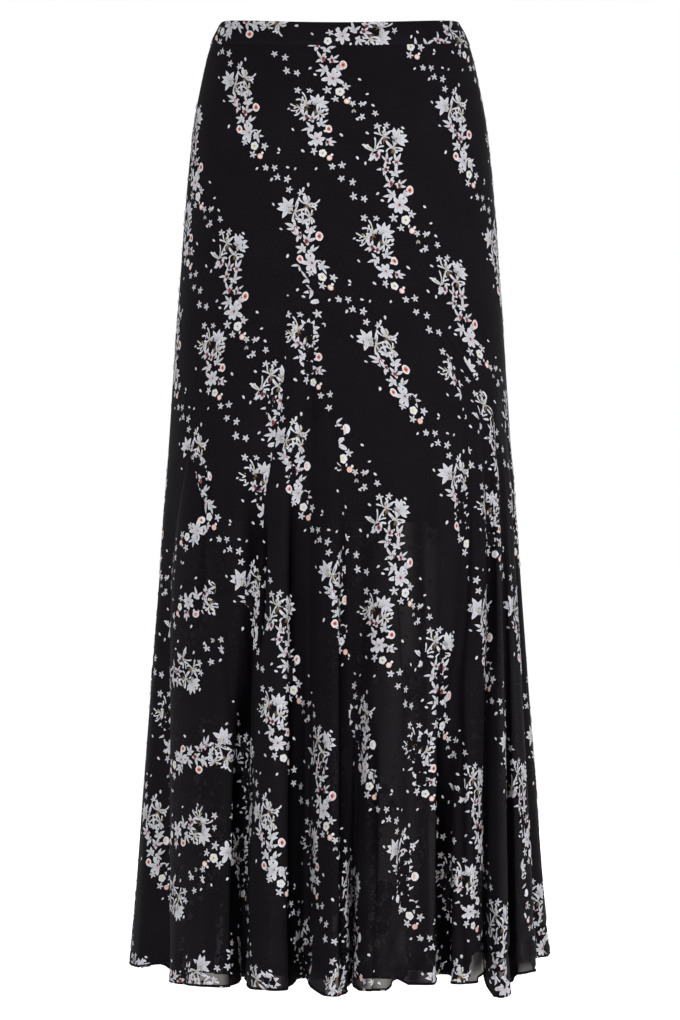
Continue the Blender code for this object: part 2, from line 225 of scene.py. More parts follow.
def body_point(sections, height, turn):
    """Point (across, depth) of an unfolded section; turn is 0 at the front, right is plus."""
    half_width = read_table(sections, height, "half_width")
    reach = "front" if math.cos(turn) >= 0 else "back"
    depth = read_table(sections, height, reach)
    return half_width * math.sin(turn), depth * math.cos(turn)


def turn_at(height, across, front):
    """Turn of the body's point that lies so far across, on the front or on the back."""
    share = across / read_table(SECTIONS, height, "half_width")
    turn = math.asin(max(-1.0, min(1.0, share)))
    return turn if front else math.pi - turn


def plan_point(place):
    """Point of the hem's plan at a whole or half place round the ring."""
    whole = math.floor(place)
    corners = [hem_corner(whole + step) for step in (-1, 0, 1, 2)]
    return corners[1] if place == whole else curve_point(corners, place - whole)


def flute_at(index):
    return FLUTES[(index % RING) // POINTS_PER_FLUTE]


def hem_corner(index):
    return flute_at(index)[index % POINTS_PER_FLUTE]


def curve_point(corners, share):
    """Point between the middle two of four corners, on a curve that fits uneven spacing."""
    before, begin, end, after = corners
    pairs = ((before, begin), (begin, end), (end, after))
    gaps = [max(math.dist(*pair), LEAST_STEP) for pair in pairs]
    point = []
    for axis in (0, 1):
        into = (begin[axis] - before[axis]) / gaps[0]
        along = (end[axis] - begin[axis]) / gaps[1]
        out = (after[axis] - end[axis]) / gaps[2]
        leave = (into * gaps[1] + along * gaps[0]) / (gaps[0] + gaps[1])
        arrive = (along * gaps[2] + out * gaps[1]) / (gaps[1] + gaps[2])
        point.append(hermite(begin[axis], end[axis], leave * gaps[1], arrive * gaps[1], share))
    return tuple(point)


def godet_turns(godet, height):
    """Turns of a godet's two edges; above its tip they are lines inside the panel."""
    tip = godet.edges[0]
    if height > tip.height and godet.in_seam:
        middle = turn_at(height, 0.0, godet.front)
        return middle, middle
    if height >= tip.height:
        share = (height - tip.height) / (BAND_FOOT - tip.height)
        spread = 0.5 * between(abs(tip.second - tip.first), TIP_WIDTH_AT_WAIST, share)
        spread /= read_table(SECTIONS, height, "half_width")
        middle = turn_at(tip.height, 0.5 * (tip.first + tip.second), godet.front)
        return middle - spread, middle + spread
    first = read_table(godet.edges, height, "first")
    second = read_table(godet.edges, height, "second")
    return turn_at(height, first, godet.front), turn_at(height, second, godet.front)


def guide_turns(height):
    """Turns of the lines that carry the seams, by place round the ring."""
    turns = {LEFT_SIDE: -0.5 * math.pi, RIGHT_SIDE: 0.5 * math.pi}
    for godet in GODETS:
        first, second = godet_turns(godet, height)
        turns[godet.first] = first
        turns[godet.second] = second
    turns[WHOLE_TURN] = 1.5 * math.pi
    return turns


def line_places():
    """Places of all lines round the ring, from the left side seam once round."""
    whole = {LEFT_SIDE + step for step in range(RING + 1)}
    edges = {place for godet in GODETS for place in (godet.first, godet.second)}
    return sorted(whole | edges)


def cloth_shares(places, guides):
    """Each line's share of the cloth between the two seam lines beside it, at the hem."""
    shares = {}
    marks = sorted(guides)
    for low, high in zip(marks, marks[1:]):
        inside = [place for place in places if low <= place <= high]
        lengths = [math.dist(plan_point(a), plan_point(b)) for a, b in zip(inside, inside[1:])]
        run = 0.0
        for place, length in zip(inside, lengths):
            shares[place] = (low, high, run / sum(lengths))
            run += length
    last = marks[-1]
    shares[last] = (last, last, 0.0)
    return shares


def line_turn(place, turns):
    low, high, share = SHARES[place]
    return between(turns[low], turns[high], share)


def fold_size(place, height):
    """How far the fold at a place has grown at a height, from none to 1 at the hem."""
    whole = math.floor(place)
    starts = between(flute_at(whole).starts, flute_at(whole + 1).starts, place - whole)
    share = (starts - height) / (starts - HEM)
    return max(0.0, min(1.0, share)) ** FOLD_GROWTH


def hem_lift(place, height):
    """Rise of the cloth at a place near the hem; valleys ride higher than crests."""
    whole = math.floor(place)
    lifts = []
    for index in (whole, whole + 1):
        in_valley = index % POINTS_PER_FLUTE == POINTS_PER_FLUTE - 1
        lifts.append(-flute_at(index).drop + (VALLEY_RISE if in_valley else 0.0))
    share = max(0.0, (HEM_DROP_START - height) / (HEM_DROP_START - HEM))
    return between(*lifts, place - whole) * share * share


def hem_pushes():
    """How far the hem's plan lies from the unfolded body, by place."""
    turns = guide_turns(HEM)
    pushes = {}
    for place in PLACES:
        relaxed = body_point(SECTIONS, HEM, line_turn(place, turns))
        drawn = plan_point(place)
        pushes[place] = (drawn[0] - relaxed[0], drawn[1] - relaxed[1])
    return pushes


def inside_closed(place, closed):
    return any(g.name in closed and g.first < place < g.second for g in GODETS)


def waist_dip(point, height):
    """How far the cloth near the waist hangs below its level ring, all of it at the front."""
    forward = max(0.0, point[1] / read_table(SECTIONS, height, "front"))
    fade = (DIP_END - height) / (DIP_END - BAND_FOOT)
    fade = max(0.0, min(1.0, fade))
    return WAIST_DIP * forward * forward * fade * fade * (3 - 2 * fade)


# The whole ring, row by row

def fine_heights():
    """Heights of the shown rows: even steps between the waist, every godet's tip and the hem."""
    marks = sorted({BAND_FOOT, HEM} | {godet.edges[0].height for godet in GODETS}, reverse=True)
    heights = [marks[0]]
    for high, low in zip(marks, marks[1:]):
        count = max(1, round((high - low) / ROW_STEP))
        heights += [between(high, low, (step + 1) / count) for step in range(count)]
    return heights


def ring_row(height):
    """Places round the ring at a height, with the outer point of each."""
    turns = guide_turns(height)
    closed = {g.name for g in GODETS if height > g.edges[0].height}
    open_places = [place for place in PLACES[:-1] if not inside_closed(place, closed)]
    corners = []
    for place in open_places:
        across, depth = body_point(SECTIONS, height, line_turn(place, turns))
        size = fold_size(place, height)
        corners.append((across + size * PUSHES[place][0], depth + size * PUSHES[place][1]))
    places = []
    points = []
    count = len(open_places)
    for at, place in enumerate(open_places):
        step = (open_places[(at + 1) % count] - place) % RING
        four = [corners[(at + k) % count] for k in (-1, 0, 1, 2)]
        parts = SEAM_PARTS if step < 1 else LINE_PARTS
        for part in range(parts if step <= 1 else 1):
            share = part / parts
            places.append(round(place + share * step, PLACE_DIGITS))
            points.append(curve_point(four, share))
    return np.array(places), np.array(points)


# Soft creases that the photo shows between the large folds, and like ones on hidden sides.
# A crease runs from (x, height) to (x, height); it is a ridge where its depth is positive.
Crease = namedtuple("Crease", "x_top top x_foot foot depth width front")
FRONT_CREASES = (
    (166, -372, 152, -425, 2.2, 9),
    (172, -350, 177, -470, -2.4, 8),
    (112, -405, 108, -640, 2.0, 10),
    (88, -470, 92, -760, -2.2, 12),
    (16, -330, 20, -560, 1.8, 9),
    (2, -300, 12, -430, -1.6, 8),
    (-52, -300, -56, -420, 1.8, 8),
    (-66, -430, -80, -640, -2.4, 10),
    (-120, -330, -128, -520, 1.6, 14),
    (-96, -560, -92, -800, 2.2, 11),
    (-150, -240, -160, -430, 1.4, 16),
    (60, -560, 66, -900, 2.0, 12),
    (134, -60, 142, -250, 1.0, 18),
    (-128, -70, -140, -230, 1.0, 18),
    (40, -640, 44, -860, -1.8, 9),
    (-26, -600, -24, -900, 1.8, 8),
)
BACK_CREASES = (
    (150, -120, 156, -330, 1.2, 18),
    (90, -330, 96, -560, 1.8, 12),
    (34, -360, 40, -560, -1.8, 10),
    (-30, -350, -36, -600, 1.9, 10),
    (-88, -300, -92, -540, 1.6, 14),
    (-146, -110, -152, -340, 1.2, 18),
    (62, -600, 60, -880, 2.2, 11),
    (-66, -640, -60, -860, -2.0, 10),
    (128, -560, 130, -800, 2.0, 12),
    (-128, -600, -134, -840, 2.0, 12),
)
CREASES = ([Crease(*row, True) for row in FRONT_CREASES]
           + [Crease(*row, False) for row in BACK_CREASES])

# How quickly creases, the hem's waves and tucks grow towards their full depth
CREASE_FADE = 0.8
HEM_WAVE_GROWTH = 1.6
TUCK_FADE = 3.5

# Small waves of the free hem, as (length along the hem, height of the wave, phase)
HEM_WAVES = ((61.0, 1.6, 0.4), (37.0, 1.3, 2.1), (23.0, 0.7, 4.0))
HEM_WAVE_START = -860.0

# Narrow tucks where the cloth folds under itself; those that run on to the hem don't fade
# there. Dark is painted shade: how far the cloth inside the fold is mixed towards near black,
# standing in for the light that the fold keeps from it.
Tuck = namedtuple("Tuck", "x_top top x_foot foot depth width dark front")
FRONT_TUCKS = (
    (-88, -400, -109, HEM, 9.0, 6.0, 0.95),
    (-80, -490, -84, -670, 4.0, 3.2, 0.8),
    (-46, -395, -45, HEM, 9.0, 6.5, 0.97),
    (5, -480, 6, HEM, 8.0, 4.5, 0.85),
    (30, -690, 38, HEM, 5.0, 5.0, 0.5),
    (106, -600, 107, HEM, 7.0, 6.0, 0.85),
    (122, -640, 130, HEM, 4.0, 4.5, 0.5),
    (160, -430, 158, -700, 3.0, 4.0, 0.6),
    (-140, -420, -146, -640, 3.0, 4.0, 0.4),
)
BACK_TUCKS = (
    (150, -420, 150, HEM, 7.0, 6.0, 0.8),
    (82, -380, 84, HEM, 8.0, 6.0, 0.9),
    (0, -420, 2, HEM, 8.0, 6.0, 0.9),
    (-68, -400, -68, HEM, 8.0, 6.0, 0.9),
    (-126, -440, -128, HEM, 7.0, 6.0, 0.8),
)
TUCKS = [Tuck(*row, True) for row in FRONT_TUCKS] + [Tuck(*row, False) for row in BACK_TUCKS]

# Cloth beside a seam is drawn in by this much, over this width
SEAM_DRAW = 0.8
SEAM_DRAW_WIDTH = 4.0


def smooth(share):
    share = np.clip(share, 0.0, 1.0)
    return share * share * (3 - 2 * share)


def nearness(fold, points, share):
    """How near each point of a row lies to a crease or tuck, so far down it, from 0 to 1."""
    facing = points[:, 1] > 0 if fold.front else points[:, 1] <= 0
    reach = (points[:, 0] - between(fold.x_top, fold.x_foot, share)) / fold.width
    return np.where(facing, np.exp(-reach * reach), 0.0)


def crease_push(points, height):
    """How far the creases move each point of a row along its normal."""
    push = np.zeros(len(points))
    for crease in CREASES:
        if crease.foot < height < crease.top:
            share = (crease.top - height) / (crease.top - crease.foot)
            fade = math.sin(math.pi * share) ** CREASE_FADE
            push += crease.depth * fade * nearness(crease, points, share)
    return push


def tuck_push(points, height):
    """How far the tucks draw each point of a row in, and how much painted shade it gets inside
    them.
    """
    push = np.zeros(len(points))
    dark = np.zeros(len(points))
    for tuck in TUCKS:
        if tuck.foot <= height <= tuck.top:
            share = (tuck.top - height) / (tuck.top - tuck.foot)
            fade = float(smooth(share * TUCK_FADE))
            if tuck.foot > HEM:
                fade *= float(smooth((1 - share) * TUCK_FADE))
            near = fade * nearness(tuck, points, share)
            push -= tuck.depth * near
            dark = np.maximum(dark, tuck.dark * near)
    return push, dark


def hem_push(run, total, height):
    """How far the small waves of the hem move each point of a row."""
    push = np.zeros(len(run))
    for length, size, phase in HEM_WAVES:
        turns = round(total / length)
        push += size * np.sin(2 * math.pi * turns * run / total + phase)
    share = (HEM_WAVE_START - height) / (HEM_WAVE_START - HEM)
    return push * max(0.0, share) ** HEM_WAVE_GROWTH


def seam_push(places, run, total, height):
    """How far the seams draw each point of a row in."""
    push = np.zeros(len(run))
    seams = [LEFT_SIDE, RIGHT_SIDE]
    for godet in GODETS:
        if height <= godet.edges[0].height:
            seams += [godet.first, godet.second]
        elif godet.in_seam:
            seams.append(godet.first)
    for seam in seams:
        at = run[np.searchsorted(places, seam)]
        away = np.abs(run - at)
        away = np.minimum(away, total - away)
        push -= SEAM_DRAW * np.exp(-(away / SEAM_DRAW_WIDTH) ** 2)
    return push


# A row of the shown cloth; dark is the painted shade at the bottom of its tucks
Row = namedtuple("Row", "height places x depth z normal_x normal_depth dark")


def plan_normals(points, closed):
    """Outward directions of a row's points, along a closed ring or an open run."""
    if closed:
        wrapped = np.vstack([points[-1:], points, points[:1]])
        along = wrapped[2:] - wrapped[:-2]
    else:
        along = np.gradient(points, axis=0)
    length = np.maximum(np.hypot(along[:, 0], along[:, 1]), LEAST_STEP)
    return np.stack([-along[:, 1] / length, along[:, 0] / length], axis=1)


def finished_row(height):
    """One row of the shown cloth: the solid's mid surface with creases, waves and seams."""
    places, points = ring_row(height)
    normals = plan_normals(points, True)
    steps = np.hypot(*(np.roll(points, -1, axis=0) - points).T)
    run = np.concatenate([[0.0], np.cumsum(steps)[:-1]])
    total = float(steps.sum())
    push = crease_push(points, height) + hem_push(run, total, height)
    # dark is the tucks' painted shade, carried along with the row
    tucked, dark = tuck_push(points, height)
    push += tucked
    push += seam_push(places, run, total, height) - 0.5 * PANEL_WALL
    shown = points + normals * push[:, None]
    lifts = np.array([hem_lift(place, height) for place in places])
    dips = np.array([waist_dip(point, height) for point in points])
    z = height + lifts - dips
    normals = plan_normals(shown, True)
    close = [np.append(column, column[0]) for column in (
        shown[:, 0], shown[:, 1], z, normals[:, 0], normals[:, 1], dark)]
    return Row(height, np.append(places, WHOLE_TURN), *close)


PLACES = line_places()
SHARES = cloth_shares(PLACES, guide_turns(HEM))
PUSHES = hem_pushes()
HEIGHTS = fine_heights()
ROWS = [finished_row(height) for height in HEIGHTS]
DEPTHS = -np.array(HEIGHTS)
GODET = {godet.name: godet for godet in GODETS}


def world(x, depth, z):
    return np.stack([x, -np.asarray(depth), z], axis=1) * MM


def lifted(columns, lift):
    """World points of a row, moved off the cloth along its normals."""
    x, depth, z, normal_x, normal_depth = columns
    return world(x + normal_x * lift, depth + normal_depth * lift, z)


# A run of cloth in one row: the row's points it holds (None for all of them), how far across
# the cut piece each lies, and their x, depth, z and normals
Run = namedtuple("Run", "index across columns")


class Surface:
    """A cut piece laid flat, down from the origin's height.

    depths holds how far down each row lies, and runs[row] has a run for each span between
    the slashes. Spans above a slash's tip share a run.
    """

    def __init__(self, depths):
        self.depths = depths
        self.runs = []

    def row_at(self, v):
        """The row at or above a distance down, or None off the piece."""
        if not self.depths[0] <= v <= self.depths[-1]:
            return None
        return min(int(np.searchsorted(self.depths, v, side="right")) - 1, len(self.runs) - 1)

    def extent(self):
        low = min(run.across[0] for found in self.runs for run in found)
        high = max(run.across[-1] for found in self.runs for run in found)
        return low, high, self.depths[0], self.depths[-1]

    def widths(self):
        """Width of the cloth in each row, all its runs together."""
        return [sum({id(run): run.across[-1] - run.across[0] for run in found}.values())
                for found in self.runs]

    def lay(self, u, v, spans, lift):
        """Points on the cloth, lifted off it, at flat places that are held inside their span."""
        place = np.interp(v, self.depths, np.arange(len(self.depths)))
        above = np.minimum(place.astype(int), len(self.depths) - 2)
        share = place - above
        spots = np.zeros((5, len(u)))
        for row, span in set(zip(above.tolist(), spans.tolist())):
            chosen = (above == row) & (spans == span)
            for step, weight in ((0, 1 - share[chosen]), (1, share[chosen])):
                run = self.runs[row + step][span]
                for spot, column in zip(spots, run.columns):
                    spot[chosen] += weight * np.interp(u[chosen], run.across, column)
        return lifted(spots, lift)


class Flat(Surface):
    """A panel or a godet: rows of the ring between first and last places, span by span."""

    def __init__(self, spans, tips, top_row):
        super().__init__(DEPTHS[top_row:])
        self.spans = spans
        self.tips = tips
        self.rows = ROWS[top_row:]
        anchors = [0.5 * (first + last) for first, last in spans]
        widest = max(range(len(spans)), key=lambda at: spans[at][1] - spans[at][0])
        held = np.zeros(len(spans))
        for row in self.rows:
            found = [None] * len(spans)
            for group in self.groups(row.height):
                index = self.points(row, group)
                columns = [column[index] for column in row[2:7]]
                along = distances(*columns[:2])
                marks = np.interp(anchors, row.places[index], along)
                lead = widest if widest in group else group[0]
                run = Run(index, along - marks[lead] + held[lead], columns)
                for span in group:
                    found[span] = run
            held = [np.interp(anchor, row.places[run.index], run.across)
                    for anchor, run in zip(anchors, found)]
            self.runs.append(found)

    def groups(self, height):
        """Spans that are still one cloth at a height, above the tips that part them."""
        groups = [[0]]
        for at, tip in enumerate(self.tips):
            if height >= tip:
                groups[-1].append(at + 1)
            else:
                groups.append([at + 1])
        return groups

    def points(self, row, group):
        """The row's points that a group of spans holds."""
        inside = [(row.places >= self.spans[at][0] - SAME_PLACE)
                  & (row.places <= self.spans[at][1] + SAME_PLACE) for at in group]
        return np.concatenate([np.nonzero(held)[0] for held in inside])


def make_object(name, points, faces, material):
    mesh = bpy.data.meshes.new(name)
    mesh.from_pydata([tuple(point) for point in points], [], faces)
    mesh.shade_smooth()
    mesh.materials.append(material)
    thing = bpy.data.objects.new(name, mesh)
    bpy.context.scene.collection.objects.link(thing)
    return thing


def distances(x, depth):
    """How far along a row each of its points lies from the first."""
    return np.concatenate([[0.0], np.cumsum(np.hypot(np.diff(x), np.diff(depth)))])


def quads(rows, count, round_rows, round_points):
    """Faces between rows of so many points; round ones join their end to their start."""
    faces = []
    for at in range(rows if round_rows else rows - 1):
        foot = (at + 1) % rows
        for k in range(count if round_points else count - 1):
            after = (k + 1) % count
            faces.append((at * count + k, foot * count + k, foot * count + after,
                          at * count + after))
    return faces


def set_uv(thing, flat_points):
    """The cut piece's own flat coordinates in metres, for the weave."""
    mesh = thing.data
    corners = np.empty(len(mesh.loops), dtype=np.int32)
    mesh.loops.foreach_get("vertex_index", corners)
    layer = mesh.uv_layers.new(name="cloth")
    layer.data.foreach_set("uv", np.asarray(flat_points)[corners].ravel())


# Share of the light that one layer of chiffon lets through where it lies flat to the eye, at
# the front and at the back, whose deep folds double it. The one turns into the other over
# so much depth, and cloth that stands edge on counts as this far turned to the eye.
CLEAR_FRONT = 0.18
CLEAR_BACK = 0.02
CLEAR_TURN = 190.0
LEAST_FACING = 0.28

# A run of the back that lies single, about a middle line, lets more through
CLEAR_RUN = 0.1
CLEAR_RUN_MIDDLE = 82.0
CLEAR_RUN_WIDTH = 22.0

# The sides, which lie edge on to front and back, let less through
SIDE_LOSS = 0.8
SIDE_POWER = 4

# Runs of the front where a fold doubles the cloth: from and to, across, and how high above the
# hem the fold starts and ends. It sets in over these widths.
Doubled = namedtuple("Doubled", "low high foot top")
DOUBLED = table(
    Doubled,
    (-100.0, -50.0, -10.0, 600.0),
    (-46.0, -14.0, -10.0, 600.0),
    (54.0, 98.0, -10.0, 35.0),
    (98.0, 130.0, -10.0, 600.0),
    (133.0, 161.0, 10.0, 90.0),
    (181.0, 211.0, 5.0, 90.0),
)
DOUBLED_EDGE = 5.0
DOUBLED_START = 8.0
DOUBLED_FADE = 25.0


def cover(row, column):
    """Share of the light that the chiffon stops; more where a fold turns it edge on, and more
    again under the painted shade of tucks.
    """
    across, depth = row.x[column], row.depth[column]
    facing = across * row.normal_x[column] + depth * row.normal_depth[column]
    facing = max(facing / math.hypot(across, depth), LEAST_FACING)
    front = float(smooth(0.5 + depth / CLEAR_TURN))
    reach = (across - CLEAR_RUN_MIDDLE) / CLEAR_RUN_WIDTH
    clear = between(CLEAR_BACK + (CLEAR_RUN - CLEAR_BACK) * math.exp(-reach * reach),
                    CLEAR_FRONT, front)
    clear *= 1.0 - SIDE_LOSS * (abs(across) / math.hypot(across, depth)) ** SIDE_POWER
    layers = 1.0
    for fold in DOUBLED:
        inside = smooth((across - fold.low) / DOUBLED_EDGE)
        inside *= smooth((fold.high - across) / DOUBLED_EDGE)
        inside *= smooth((row.height - HEM - fold.foot) / DOUBLED_START)
        inside *= smooth((HEM + fold.top - row.height) / DOUBLED_FADE)
        layers += front * float(inside)
    # Where a tuck has painted shade the cloth turns opaque in step, so that its near-black shows
    return 1.0 - clear ** (layers / facing) * (1.0 - row.dark[column])


def make_cloth(name, flat, material):
    points = []
    covers = []
    painted_tuck_shades = []
    flat_points = []
    keys = {}
    for at, (row, found) in enumerate(zip(flat.rows, flat.runs)):
        for run in found:
            for column, distance in zip(run.index, run.across):
                key = (at, row.places[column])
                if key not in keys:
                    keys[key] = len(points)
                    points.append((row.x[column], row.depth[column], row.z[column]))
                    covers.append(cover(row, column))
                    painted_tuck_shades.append(row.dark[column])
                    flat_points.append((distance * MM, row.height * MM))
    faces = []
    for at, (row, foot) in enumerate(zip(flat.rows, flat.rows[1:])):
        for group in flat.groups(foot.height):
            places = row.places[flat.points(row, group)]
            faces += [(keys[at, left], keys[at + 1, left], keys[at + 1, right], keys[at, right])
                      for left, right in zip(places, places[1:])]
    thing = make_object(name, world(*np.array(points).T), faces, material)
    set_uv(thing, flat_points)
    # The dark attribute holds the tucks' painted shade
    for kind, values in (("cover", covers), ("dark", painted_tuck_shades)):
        layer = thing.data.attributes.new(kind, "FLOAT", "POINT")
        layer.data.foreach_set("value", values)
    return thing


# Print: motifs in pattern coordinates, p to the right and q down the cloth, in millimetres.
# Every flower is drawn at a place, at a turn and in a size; round ones make no use of the turn.
# Its own numbers are shares of its size, degrees, and pairs between which chance draws.

WHITE = np.array((0.64, 0.64, 0.68))
LILAC = np.array((0.42, 0.42, 0.46))
GREY_LILAC = np.array((0.26, 0.25, 0.30))
OLIVE = np.array((0.17, 0.15, 0.07))
BROWN = np.array((0.13, 0.08, 0.05))
MAROON = np.array((0.11, 0.020, 0.030))
ROSE = np.array((0.30, 0.07, 0.08))
CORAL = np.array((0.55, 0.14, 0.09))
GROUND = np.array((0.0054, 0.0043, 0.0060))
PEACH = np.array((0.66, 0.42, 0.36))
YELLOW = np.array((0.62, 0.56, 0.26))

# Outlines of petals: share of the length and of the width
POINTED = ((0.0, 0.22), (0.25, 0.8), (0.5, 1.0), (0.78, 0.6))
BLUNT = ((0.0, 0.3), (0.3, 0.85), (0.62, 1.0), (0.88, 0.68))
CLUBBED = ((0.0, 0.7), (0.35, 0.55), (0.7, 0.8), (0.9, 0.95))


class Motif:
    """A drawing made of small elements, the later ones on top of the earlier.

    Each element has its number, which sets its height over the cloth, and a centre, by which
    it belongs to a span of the cloth.
    """

    def __init__(self, seed):
        self.random = random.Random(seed)
        self.points = []
        self.colours = []
        self.faces = []
        self.elements = []
        self.centres = []

    def add(self, points, colours, faces):
        start = len(self.points)
        self.points += points
        self.colours += colours
        self.faces += [tuple(start + corner for corner in face) for face in faces]
        self.elements += [len(self.centres)] * len(points)
        self.centres.append(tuple(np.mean(np.array(points), axis=0)))

    def sway(self, reach):
        return self.random.uniform(-reach, reach)

    def petal(self, at, turn, length, width, bend=0.0, outline=POINTED, inner=LILAC,
              outer=WHITE, middle=0.8):
        """A petal from its base, pointing up at turn 0 and to the right at 90 degrees.

        It bends by so many degrees on its way, and its middle is duller than its edges.
        """
        points = []
        colours = []
        place = at
        before = 0.0
        for share, half in outline + ((1.0, 0.0),):
            angle = math.radians(turn + bend * 0.5 * (before + share))
            step = (share - before) * length
            place = (place[0] + math.sin(angle) * step, place[1] - math.cos(angle) * step)
            before = share
            tone = between(inner, outer, share ** 0.7)
            for side in (-1, 0, 1) if half else (0,):
                off = side * half * 0.5 * width
                points.append((place[0] + math.cos(angle) * off, place[1] + math.sin(angle) * off))
                colours.append(tone * (middle if side == 0 and half else 1.0))
        last = len(points) - 1
        faces = [(k, k + 1, k + 4, k + 3) for k in range(last - 3) if k % 3 < 2]
        faces += [(last - 3, last - 2, last), (last - 2, last - 1, last)]
        self.add(points, colours, faces)

    def disc(self, at, radius, colour, sides=8, squash=1.0, uneven=0.06):
        """A flat, slightly uneven disc; squash narrows it."""
        points = []
        for k in range(sides):
            reach = radius * self.random.uniform(1 - uneven, 1 + uneven)
            points.append((at[0] + reach * squash * math.cos(2 * math.pi * k / sides),
                           at[1] + reach * math.sin(2 * math.pi * k / sides)))
        self.add(points, [colour] * sides, [tuple(range(sides))])

    def fan(self, at, turns, size, sway, lengths, width, bend=0.0, outline=POINTED):
        """Petals at several turns, each with its own sway, length and bend."""
        for turn in turns:
            self.petal(at, turn + self.sway(sway), size * self.random.uniform(*lengths),
                       size * width, self.sway(bend) if bend else 0.0, outline)

    def heart(self, at, size, colour, edge):
        """A small dark heart, off the middle, with a paler edge."""
        place = (at[0] + self.sway(0.3) * size, at[1] + self.sway(0.3) * size)
        for part, tone in ((1.0, edge), (0.74, colour)):
            self.disc(place, size * part, tone, 6, 0.8, 0.3)

    def spider(self, at, turn, size):
        """Long thin curling petals in a loose fan, with olive stems at its foot."""
        self.disc(at, size * 0.45, GROUND)
        for k in range(4):
            self.petal(at, turn + 180 + self.sway(50), size * 0.6, 1.3, self.sway(40),
                       inner=OLIVE, outer=BROWN, middle=1.0)
        for k in range(9):
            spread = between(-125, 125, k / 8) + self.sway(16)
            bend = self.random.choice((-1, 1)) * self.random.uniform(20, 105)
            self.petal(at, turn + spread, size * self.random.uniform(0.62, 1.15),
                       self.random.uniform(1.7, 2.5), bend, CLUBBED, middle=0.85)
        self.petal(at, turn, size * 0.5, 1.1, inner=OLIVE, outer=YELLOW, middle=1.0)

    def lily(self, at, turn, size):
        """A pointed flower of six uneven petals, seen from one side."""
        self.disc(at, size * 0.6, GROUND)
        for k in range(6):
            swing = 60 * k + self.sway(16)
            lean = 0.66 + 0.34 * math.cos(math.radians(swing))
            self.petal(at, turn + swing, size * lean * self.random.uniform(0.85, 1.25),
                       size * self.random.uniform(0.27, 0.36), self.sway(42))
        if self.random.random() < 0.62:
            self.heart(at, size * 0.27, MAROON, ROSE)

    def broad(self, at, turn, size):
        """A large lily from the side: five wide petals in a fan and two small ones behind."""
        self.disc(at, size * 0.6, GROUND)
        for swing in (-128, 132):
            self.petal(at, turn + swing, size * 0.5, size * 0.3, inner=GREY_LILAC, outer=LILAC)
        turns = [turn + swing for swing in (-82, 80, -42, 40, 2)]
        self.fan(at, turns, size, 6, (0.88, 1.04), 0.39, 22)
        self.heart(at, size * 0.12, OLIVE, YELLOW)

    def wide(self, at, turn, size):
        """A wide open flower of seven blunt petals."""
        self.disc(at, size * 0.74, GROUND)
        start = self.random.uniform(0, 51)
        turns = [start + 51.4 * k for k in range(7)]
        self.fan(at, turns, size, 9, (0.74, 1.06), 0.4, 20, BLUNT)
        self.heart(at, size * 0.15, MAROON, CORAL)

    def star(self, at, turn, size):
        """A small star of five narrow petals."""
        start = self.random.uniform(0, 72)
        self.fan(at, [start + 72 * k for k in range(5)], size, 10, (0.8, 1.1), 0.42)

    def ring(self, at, turn, size):
        """A round blossom with a pale rim and a coral heart."""
        for part, tone, sides in ((1.0, WHITE, 10), (0.72, PEACH, 8), (0.5, CORAL, 8)):
            self.disc(at, size * part, tone, sides, 0.84)
        self.disc(at, size * 0.24, MAROON, 5)

    def cup(self, at, turn, size):
        """A small round blossom of five full petals."""
        for k in range(5):
            self.petal(at, 72 * k + 20, size, size, 0.0, BLUNT, inner=WHITE, middle=0.9)
        self.disc(at, size * 0.42, YELLOW)
        self.disc(at, size * 0.2, OLIVE, 5)

    def bead(self, at, turn, size):
        """A round bud with a small one above it."""
        self.disc(at, size, PEACH)
        self.disc(at, size * 0.55, WHITE)
        self.disc((at[0] + size * 0.9, at[1] - size * 1.1), size * 0.5, WHITE, 6)

    def bud(self, at, turn, size):
        """Two olive leaves that point down."""
        for lean, width, outer in ((150, 0.5, between(OLIVE, WHITE, 0.6)), (200, 0.45, LILAC)):
            self.petal(at, lean, size, size * width, inner=OLIVE, outer=outer)

    def loose_petal(self, at, size):
        turn = self.sway(75)
        pale = between(LILAC, WHITE, self.random.uniform(0.3, 0.9))
        self.petal(at, turn, size, size * 0.62, 0.0, BLUNT, pale, pale, 0.95)


def along(axis, share):
    """Point of a smooth curve through a motif's axis points."""
    place = share * (len(axis) - 1)
    at = min(int(place), len(axis) - 2)
    four = [axis[max(at - 1, 0)], axis[at], axis[at + 1], axis[min(at + 2, len(axis) - 1)]]
    return curve_point(four, place - at)


# Blooms of a spray in the order they are laid: what, where from its head, turn and size
Bloom = namedtuple("Bloom", "kind p q turn size")
LONG_BLOOMS = (
    ("spider", -12, 16, -60, 14), ("spider", -2, 2, -14, 15), ("spider", 9, 14, 30, 12),
    ("broad", 13, 2, 58, 13.5), ("lily", -8, 23, -50, 10.5), ("lily", 3, 25, -10, 9.5),
    ("lily", 12, 28, 40, 9.5), ("lily", 0, 36, -80, 10), ("lily", 9, 39, 20, 10.5),
    ("lily", 3, 49, -60, 9.5), ("lily", 14, 50, 70, 9), ("ring", 25, 55, 0, 5.0),
    ("lily", 7, 60, -100, 9.5), ("lily", 17, 62, 110, 9), ("wide", 14, 73, 0, 12.5),
    ("star", 5, 86, 0, 5.2), ("star", 27, 81, 0, 5.4), ("cup", 21, 88, 0, 4.9),
    ("star", 14, 95, 0, 4.6), ("bead", 26, 99, 0, 3.1), ("bud", 31, 107, 0, 5.0),
)
